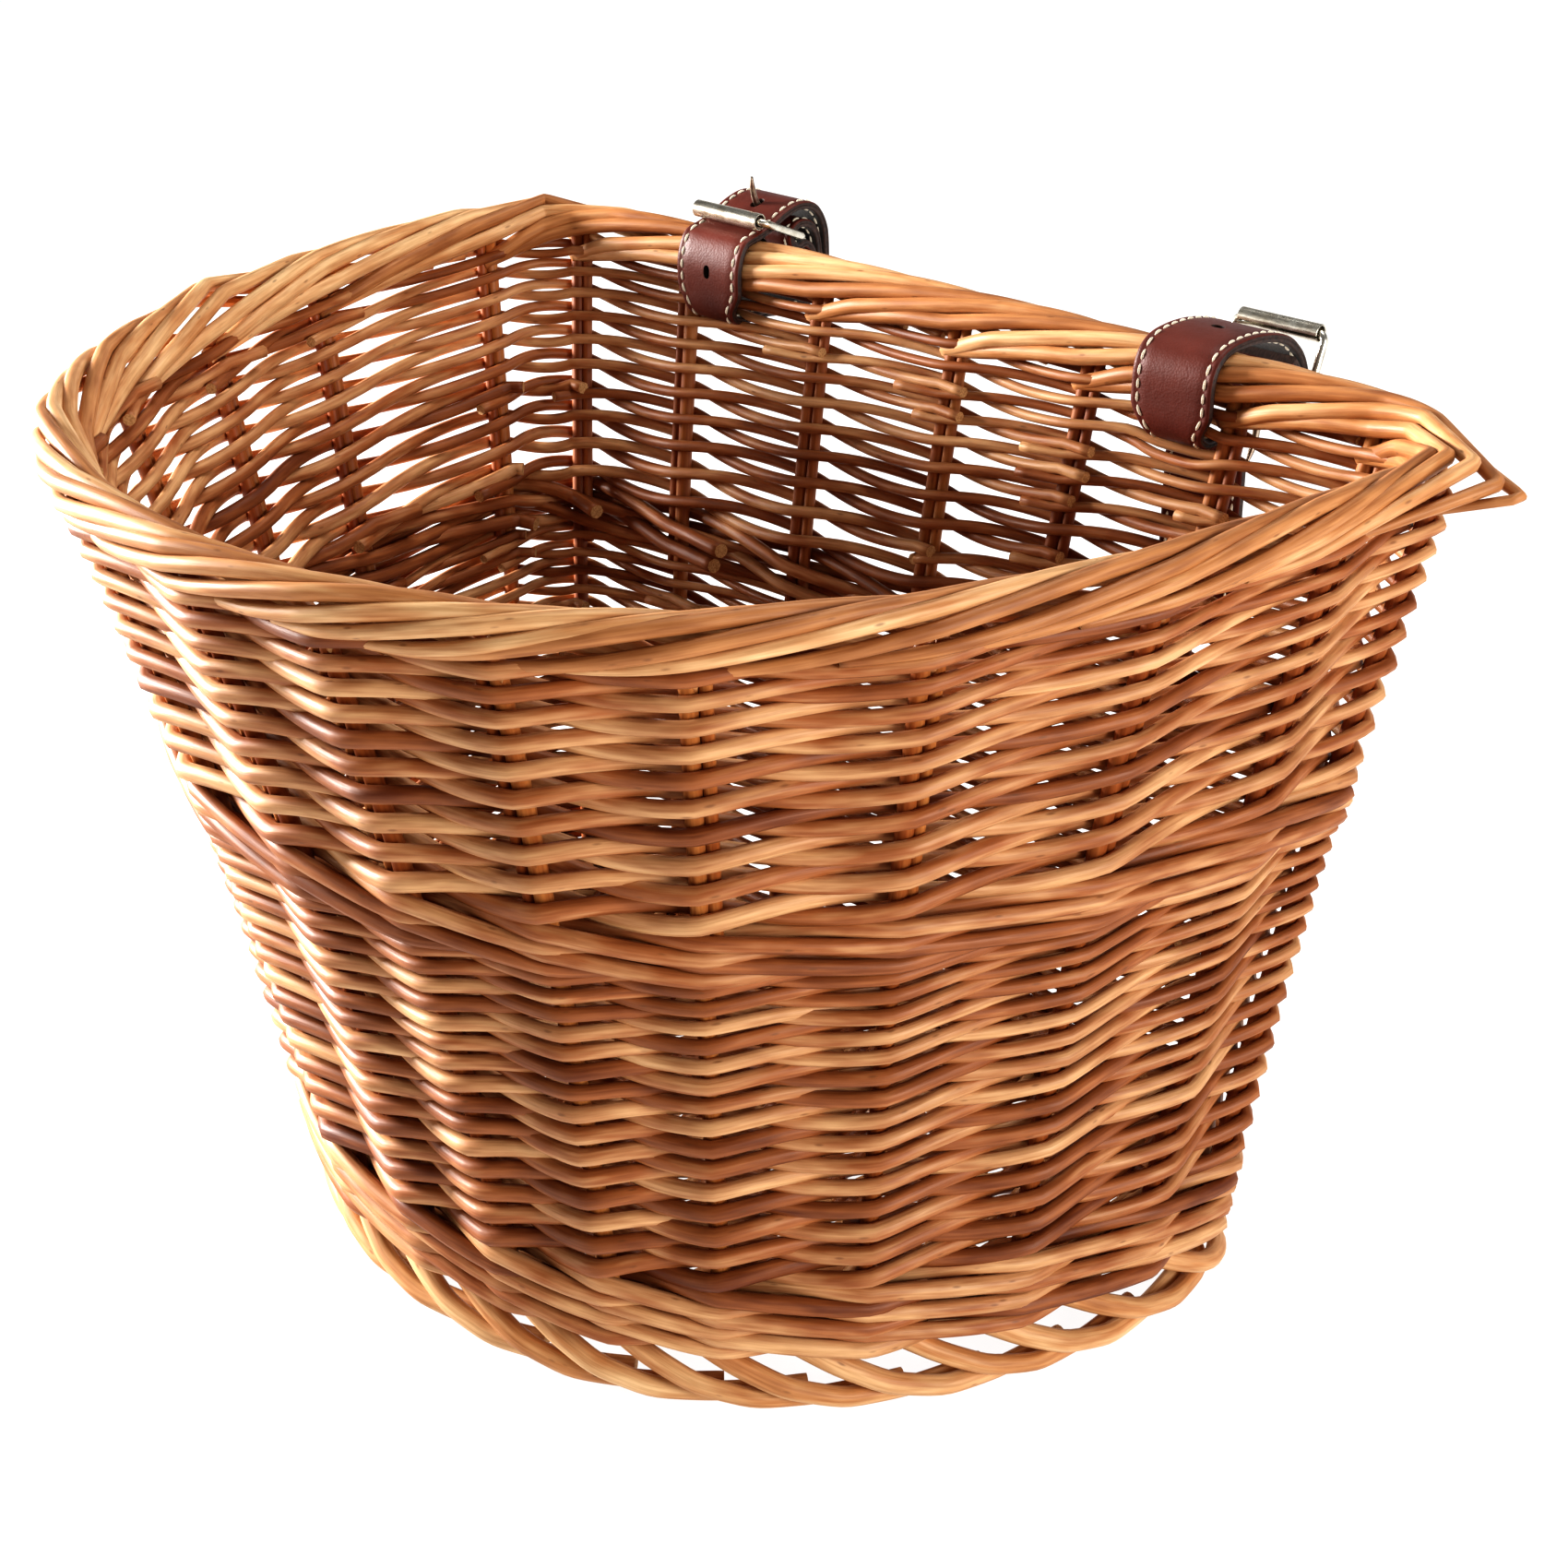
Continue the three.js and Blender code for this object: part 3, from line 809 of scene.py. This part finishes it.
STRAPS = {
    # the side of its route that the grain is on, the route's points (y from the rim's back, z)
    "left": (1, [
        (23.2, 237), (23.2, 243), (20, 246), (17, 245.4), (13.9, 247.2), (13.6, 250.4), (17, 252.6),
        (21.5, 251.8), (25, 248), (26.3, 241), (25.5, 232), (21, 227), (13, 226), (2, 226), (-6, 226),
        (-9.8, 228.8), (-10.4, 236), (-10.2, 244), (-7.3, 250.2), (-1.6, 252), (4, 253.8),
        (11, 256.9), (18, 258.2), (24.5, 256.2), (28.6, 250), (29.6, 242), (29.4, 234), (28.8, 228),
    ]),
    "right": (-1, [
        (28.6, 242.6), (31, 239.8), (32.4, 236.5), (31.4, 233), (29.7, 229.4), (30.7, 226.4),
        (33.3, 225.3), (35.9, 226.3), (36.9, 229.2), (36.3, 234), (34.6, 239.5), (31, 244.8),
        (24.5, 249.4), (14, 252.2), (3, 252.9), (-5.5, 251.4), (-10, 246.4), (-10.8, 238),
        (-10.2, 230), (-6, 226), (0, 226), (4.6, 224.8), (7, 220), (7.2, 205), (7, 185), (6.8, 168),
    ]),
}
PUNCHED = {
    # middle of each hole (y from the rim's back, z), then its size across, along y and along z
    "left": [(15, 249, 4.6, 12, 9.6), (11.2, 258, 3.4, 5, 9), (-10.4, 241, 2.5, 7, 4.2)],
    "right": [(33.3, 227, 4.6, 12, 13), (9, 253, 4.2, 2.9, 7)],
}


def spline(points, spacing):
    """A uniform Catmull-Rom curve through the points, with evenly spaced points of its own."""
    points = np.array(points, float)
    padded = np.vstack([points[:1], points, points[-1:]])
    t = np.linspace(0, 1, 40)[:-1, None]
    spans = []
    for a, b, c, d in zip(padded, padded[1:], padded[2:], padded[3:]):
        leave, arrive = (c - a) / 2, (d - b) / 2
        spans.append((2 * b - 2 * c + leave + arrive) * t**3
                     + (3 * c - 3 * b - 2 * leave - arrive) * t**2 + leave * t + b)
    fine = np.vstack(spans + [points[-1:]])
    passed = np.concatenate([[0], np.cumsum(np.linalg.norm(np.diff(fine, axis=0), axis=1))])
    spots = np.linspace(0, passed[-1], int(passed[-1] / spacing) + 1)
    return np.column_stack([np.interp(spots, passed, fine[:, i]) for i in (0, 1)]), spots


def strap_half_width(line, left_to_go):
    """Full width, narrower where the strap passes the wall, and rounded at its tip."""
    beyond = np.maximum(np.abs(line[:, 0] - SLOT_Y) - SLOT_HALF_DEPTH, 0)
    above = np.maximum(np.abs(line[:, 1] - SLOT_LEVEL) - SLOT_HALF_HEIGHT, 0)
    away = np.clip(np.hypot(beyond, above) / NECK_FADE, 0, 1)
    half = NECK_HALF + (STRAP_HALF - NECK_HALF) * away**2 * (3 - 2 * away)
    rounding = np.sqrt(1 - np.clip(1 - left_to_go / TIP_LENGTH, 0, 1) ** 2)
    return np.minimum(half, TIP_HALF + (STRAP_HALF - TIP_HALF) * rounding)


def strap_mesh(name, x, line, normal, half):
    """The strap's profile, carried along its line, with a material for each of its faces."""
    profile = STRAP_HALF_PROFILE + [(-a, -b, c, d) for a, b, c, d in STRAP_HALF_PROFILE[-2:0:-1]]
    share, inset, height, _ = np.array(profile).T
    across = half[:, None] * share - inset
    y, z = (line[:, None, i] + normal[:, None, i] * height for i in (0, 1))
    points = np.stack([x + across, y + BACK, z], axis=-1)
    n, sides = points.shape[:2]
    kinds = [kind for *_, kind in STRAP_HALF_PROFILE[:-1]]
    kinds = kinds + kinds[::-1]
    faces, materials = [], []
    for ring in range(0, (n - 1) * sides, sides):
        for k in range(sides):
            beside = (k + 1) % sides
            faces.append([ring + k, ring + beside, ring + sides + beside, ring + sides + k])
            materials.append(kinds[k])
    faces += [list(range(sides))[::-1], list(range((n - 1) * sides, n * sides))]
    materials += [1, 1]
    mesh = bpy.data.meshes.new(name)
    mesh.from_pydata((points.reshape(-1, 3) * MM).tolist(), [], faces)
    mesh.polygons.foreach_set("material_index", materials)
    for material in LEATHER:
        mesh.materials.append(material)
    return mesh


def turn_faces_outward(mesh):
    work = bmesh.new()
    work.from_mesh(mesh)
    bmesh.ops.recalc_face_normals(work, faces=work.faces)
    work.to_mesh(mesh)
    work.free()


HOLE_SIDES = 24


def hole_cutter(x, y, z, wide, deep, tall):
    """An oval rod that goes through the strap along y or z, whichever of its two sizes is longer."""
    turn = np.linspace(0, 2 * math.pi, HOLE_SIDES + 1)[:-1]
    goes_back = deep > tall
    half_length, half_oval = max(deep, tall) / 2, min(deep, tall) / 2
    oval_x = wide / 2 * np.cos(turn)
    oval = half_oval * np.sign(np.sin(turn)) * abs(np.sin(turn)) ** 0.7
    points = []
    for end in (-half_length, half_length):
        for a, b in zip(oval_x, oval):
            back, up = (end, b) if goes_back else (b, end)
            points.append((x + a, BACK + y + back, z + up))
    faces = [[k, (k + 1) % HOLE_SIDES, HOLE_SIDES + (k + 1) % HOLE_SIDES, HOLE_SIDES + k]
             for k in range(HOLE_SIDES)]
    faces += [list(range(HOLE_SIDES))[::-1], list(range(HOLE_SIDES, 2 * HOLE_SIDES))]
    mesh = bpy.data.meshes.new("cutter")
    mesh.from_pydata((np.array(points) * MM).tolist(), [], faces)
    turn_faces_outward(mesh)
    mesh.materials.append(LEATHER[1])
    return add_to_scene("cutter", mesh)


def punch(mesh, x, holes):
    """Cuts oval holes through the strap, whose walls show the leather's raw edge."""
    strap = add_to_scene("strap", mesh)
    cutters = [hole_cutter(x, *hole) for hole in holes]
    for cutter in cutters:
        change = strap.modifiers.new("hole", "BOOLEAN")
        change.operation = "DIFFERENCE"
        change.solver = "EXACT"
        change.material_mode = "TRANSFER"
        change.object = cutter
    evaluated = strap.evaluated_get(bpy.context.evaluated_depsgraph_get())
    punched = bpy.data.meshes.new_from_object(evaluated)
    for thing in [strap, *cutters]:
        bpy.data.objects.remove(thing)
    return punched


def make_strap(side):
    x = STRAP_X[side]
    grain_side, route = STRAPS[side]
    line, passed = spline(route, STRAP_STEP)
    run = unit(np.gradient(line, axis=0))
    normal = grain_side * np.column_stack([-run[:, 1], run[:, 0]])
    half = strap_half_width(line, passed[-1] - passed)
    name = f"{side}_strap_leather"
    mesh = strap_mesh(name, x, line, normal, half)
    turn_faces_outward(mesh)
    mesh = punch(mesh, x, PUNCHED[side])
    mesh.name = name
    mesh.polygons.foreach_set("use_smooth", [True] * len(mesh.polygons))
    mesh.set_sharp_from_angle(angle=math.radians(50))
    place(add_to_scene(name, mesh), "leather_strap", f"{side}_strap")
    make_stitches(side, line, passed, normal, half)


STITCH_ARCH = np.array([-0.25, 0.1, 0.17, 0.1, -0.25])     # a stitch's ends dive into the leather
STITCH_TAPER = np.array([0.55, 0.95, 1, 0.95, 0.55])
STITCH_HEIGHTS = {1: 1.08, -1: 1.24}     # from the strap's middle, on its grain side and flesh side


def make_stitches(side, line, passed, normal, half):
    """A row of stitches near each edge of the strap, on both of its faces."""
    x = STRAP_X[side]
    rods = Rods(f"{side} stitches")
    for spot in np.arange(3, passed[-1] - 4, STITCH["pitch"]):
        along = spot + np.linspace(-0.5, 0.5, len(STITCH_ARCH)) * STITCH["length"]
        y, z = (np.interp(along, passed, line[:, i]) for i in (0, 1))
        normal_y, normal_z = (np.interp(along, passed, normal[:, i]) for i in (0, 1))
        reach = np.interp(along, passed, half) - STITCH["inset"]
        for face, stitch_height in STITCH_HEIGHTS.items():
            height = face * (stitch_height + STITCH_ARCH)
            back, up = BACK + y + normal_y * height, z + normal_z * height
            for edge in (1, -1):
                path = np.column_stack([x + edge * reach, back, up])
                rods.add(path, STITCH["radius"] * STITCH_TAPER, sides=6)
    place(rods.piece(f"{side}_strap_stitches", THREAD), "leather_strap", f"{side}_strap")


# ---- the buckles -----------------------------------------------------------------------------------

def nickel(name, dark, pale, rough):
    surface = Surface(name)
    places = surface.places()
    scratches = surface.noise(surface.stretched(places, (0.12, 1, 1)), 2600, detail=4)
    tarnish = surface.noise(places, 260, detail=4)
    surface.color(surface.ramp(tarnish, [(0.32, dark), (0.66, pale)]))
    surface.roughness(surface.spread(scratches, rough - 0.1, rough + 0.14))
    surface.bump(scratches, 0.18, 0.0001)
    surface.set(Metallic=1)
    return surface.material


NICKEL = [nickel("nickel", (0.56, 0.50, 0.40), (0.86, 0.82, 0.72), 0.26)] * 2
DARK_NICKEL = [nickel("worn_prong", (0.16, 0.10, 0.07), (0.46, 0.38, 0.30), 0.34)] * 2

WIRE_RADIUS = 1.2
FRAME_HALF = 14.7      # from the middle of the buckle to the middle of its side arms
FRAME_CORNER = 2.6
FRAME_REACH = 20.17    # from the strap's bar to the roller's bar
ROLLER = dict(radius=2.6, wall=0.5, half=13.2, seam=0.16, seam_turn=2.2, edge=0.18)
PRONG = dict(radius=1.2, loop=2.6, reach=19.5)
BUCKLES = {
    # the bar (y from the rim's back, z), the tilt of the frame and of the prong in radians
    "left": ((LEFT_BAR_Y, 249), 2.7445, math.pi - 1.06),
    "right": ((33.3, 229), 1.2, -1.75),
}


def seen_from_bar(side, tilt, across, along, above=0.0):
    """Points given across the strap, along the tilted direction from the bar, and above that."""
    (y, z), *_ = BUCKLES[side]
    across, along, above = np.broadcast_arrays(across, along, above)
    back = BACK + y + along * math.cos(tilt) - above * math.sin(tilt)
    up = z + along * math.sin(tilt) + above * math.cos(tilt)
    return np.column_stack([STRAP_X[side] + across, back, up])


def make_frame(side):
    """A wire bent into a rectangle with rounded corners."""
    _, tilt, _ = BUCKLES[side]
    quarter = np.linspace(0, math.pi / 2, 7)
    right, near, far = FRAME_HALF - FRAME_CORNER, FRAME_CORNER, FRAME_REACH - FRAME_CORNER
    corners = []
    for quarters, (x, y) in enumerate(((right, far), (-right, far), (-right, near), (right, near))):
        angle = quarter + quarters * math.pi / 2
        corners.append([x + FRAME_CORNER * np.cos(angle), y + FRAME_CORNER * np.sin(angle)])
    across, along = np.hstack(corners)
    rods = Rods(f"{side} frame")
    rods.add(seen_from_bar(side, tilt, across, along), WIRE_RADIUS, sides=14, closed=True)
    wire = rods.piece(f"{side}_frame_wire", NICKEL)
    place(wire, "buckle_metal", f"{side}_buckle_frame", body=f"{side}_frame")


def make_roller(side):
    """A strip rolled round the bar until its edges meet in a seam."""
    _, tilt, _ = BUCKLES[side]
    seam, half, edge = ROLLER["seam"], ROLLER["half"], ROLLER["edge"]
    turn = np.linspace(seam, 2 * math.pi - seam, 40) + ROLLER["seam_turn"]
    outer, inner = ROLLER["radius"], ROLLER["radius"] - ROLLER["wall"]
    one_end = [(inner, half - edge), (inner + edge, half), (outer - edge, half), (outer, half - edge)]
    rings = one_end + [(radius, -across) for radius, across in one_end[::-1]]
    points = np.vstack([
        seen_from_bar(side, tilt, across, FRAME_REACH + radius * np.cos(turn), radius * np.sin(turn))
        for radius, across in rings
    ])
    n = len(turn)
    starts = [k * n for k in range(len(rings))]
    faces = []
    for start, after in zip(starts, starts[1:] + starts[:1]):
        for i in range(n - 1):
            faces.append([start + i, start + i + 1, after + i + 1, after + i])
    faces += [starts, [start + n - 1 for start in starts[::-1]]]
    name = f"{side}_roller_tube"
    mesh = bpy.data.meshes.new(name)
    mesh.from_pydata((points * MM).tolist(), [], faces)
    turn_faces_outward(mesh)
    mesh.polygons.foreach_set("use_smooth", [True] * len(faces))
    mesh.set_sharp_from_angle(angle=math.radians(40))
    mesh.materials.append(NICKEL[0])
    place(add_to_scene(name, mesh), "buckle_metal", f"{side}_buckle_roller", body=f"{side}_roller")


def make_prong(side):
    """A wire that hooks round the bar and runs out to a worn tip."""
    _, _, tilt = BUCKLES[side]
    turn = np.linspace(math.radians(-60), math.radians(-400), 24)
    hook = np.column_stack([PRONG["loop"] * np.cos(turn), PRONG["loop"] * np.sin(turn)])
    start_along, start_above = hook[-1]
    t = np.linspace(0, 1, 26)[1:]
    along = start_along + (PRONG["reach"] - start_along) * t
    above = start_above * (1 - t) ** 1.4 + 1.6 * np.sin(math.pi * t) - 1.5 * t**3
    path = np.vstack([hook, np.column_stack([along, above])])
    passed = np.linspace(0, 1, len(path))
    thick = PRONG["radius"] * np.interp(passed, [0, 0.5, 0.9, 1], [0.9, 1.1, 0.75, 0.35])
    rods = Rods(f"{side} prong")
    rods.add(seen_from_bar(side, tilt, 0, path[:, 0], path[:, 1]), thick, sides=12)
    wire = rods.piece(f"{side}_prong_wire", DARK_NICKEL)
    place(wire, "buckle_metal", f"{side}_buckle_prong", body=f"{side}_prong")


for side in ("left", "right"):
    make_strap(side)
    make_frame(side)
    make_roller(side)
    make_prong(side)

# ---- camera, floor and light -----------------------------------------------------------------------

def aim(thing, target):
    direction = Vector(target) - thing.location
    thing.rotation_euler = direction.to_track_quat("-Z", "Y").to_euler()


def add_camera():
    """A camera at the photo's angle. Its sizes are in metres, and its lens in millimetres."""
    azimuth, elevation, distance = math.radians(42.6), math.radians(25.95), 0.7646
    target = Vector((0.0214, 0.0187, 0.1342))
    level = math.cos(elevation)
    back = Vector((math.sin(azimuth) * level, -math.cos(azimuth) * level, math.sin(elevation)))
    camera = add_to_scene("camera", bpy.data.cameras.new("camera"))
    camera.data.lens = 63.1
    camera.data.sensor_width = 36
    camera.location = target + back * distance
    aim(camera, target)
    bpy.context.scene.camera = camera


def add_light(name, location, target, size, power, color=(1, 1, 1)):
    """A round soft lamp that shines at the target. Lengths are in metres."""
    light = bpy.data.lights.new(name, "AREA")
    light.shape = "DISK"
    light.size = size
    light.energy = power
    light.color = color
    lamp = add_to_scene(name, light)
    lamp.location = location
    aim(lamp, target)


GROUND_PROFILE = [(0.5, 0), (5, 0), (7, 0.25), (8.2, 0.8), (8.8, 1.6), (9, 3)]     # radius, height
GROUND_SIDES = 64
GROUND_DROP = 0.0002   # keeps the floor just below the basket's foot


def add_ground():
    """A pale floor that curves up far from the basket, so that every view has a plain background.
    Lengths are in metres."""
    turn = np.linspace(0, 2 * math.pi, GROUND_SIDES + 1)[:-1]
    points = [
        (r * math.cos(a), r * math.sin(a), z - GROUND_DROP) for r, z in GROUND_PROFILE for a in turn
    ]
    faces = [list(range(GROUND_SIDES))]
    for ring in range(len(GROUND_PROFILE) - 1):
        inner, outer = ring * GROUND_SIDES, (ring + 1) * GROUND_SIDES
        for k in range(GROUND_SIDES):
            after = (k + 1) % GROUND_SIDES
            faces.append([inner + k, outer + k, outer + after, inner + after])
    mesh = bpy.data.meshes.new("ground")
    mesh.from_pydata(points, [], faces)
    mesh.polygons.foreach_set("use_smooth", [True] * len(faces))
    surface = Surface("ground")
    mottle = surface.noise(surface.places(), 3, detail=2)
    surface.color(surface.ramp(mottle, [(0.0, (0.2, 0.2, 0.2)), (1.0, (0.24, 0.24, 0.24))]))
    surface.set(Roughness=0.9, Specular_IOR_Level=0.1)
    surface.set(Emission_Color=(1, 1, 1, 1), Emission_Strength=0.65)
    mesh.materials.append(surface.material)
    add_to_scene("ground", mesh)


def add_world():
    world = bpy.data.worlds.new("studio")
    world.use_nodes = True
    background = world.node_tree.nodes["Background"]
    background.inputs["Color"].default_value = (1, 1, 1, 1)
    background.inputs["Strength"].default_value = 0.14
    bpy.context.scene.world = world
    bpy.context.scene.view_settings.view_transform = "Standard"
    bpy.context.scene.view_settings.look = "High Contrast"


add_camera()
add_ground()
add_world()
add_light("key", (-1.3, -0.42, 0.42), (0, 0, 0.13), 0.45, 54, (1, 0.98, 0.96))
add_light("side", (1.3, 0.0, 0.5), (0, 0, 0.13), 0.5, 10)
add_light("top", (0.0, 0.4, 1.5), (0, 0, 0.2), 0.8, 8)
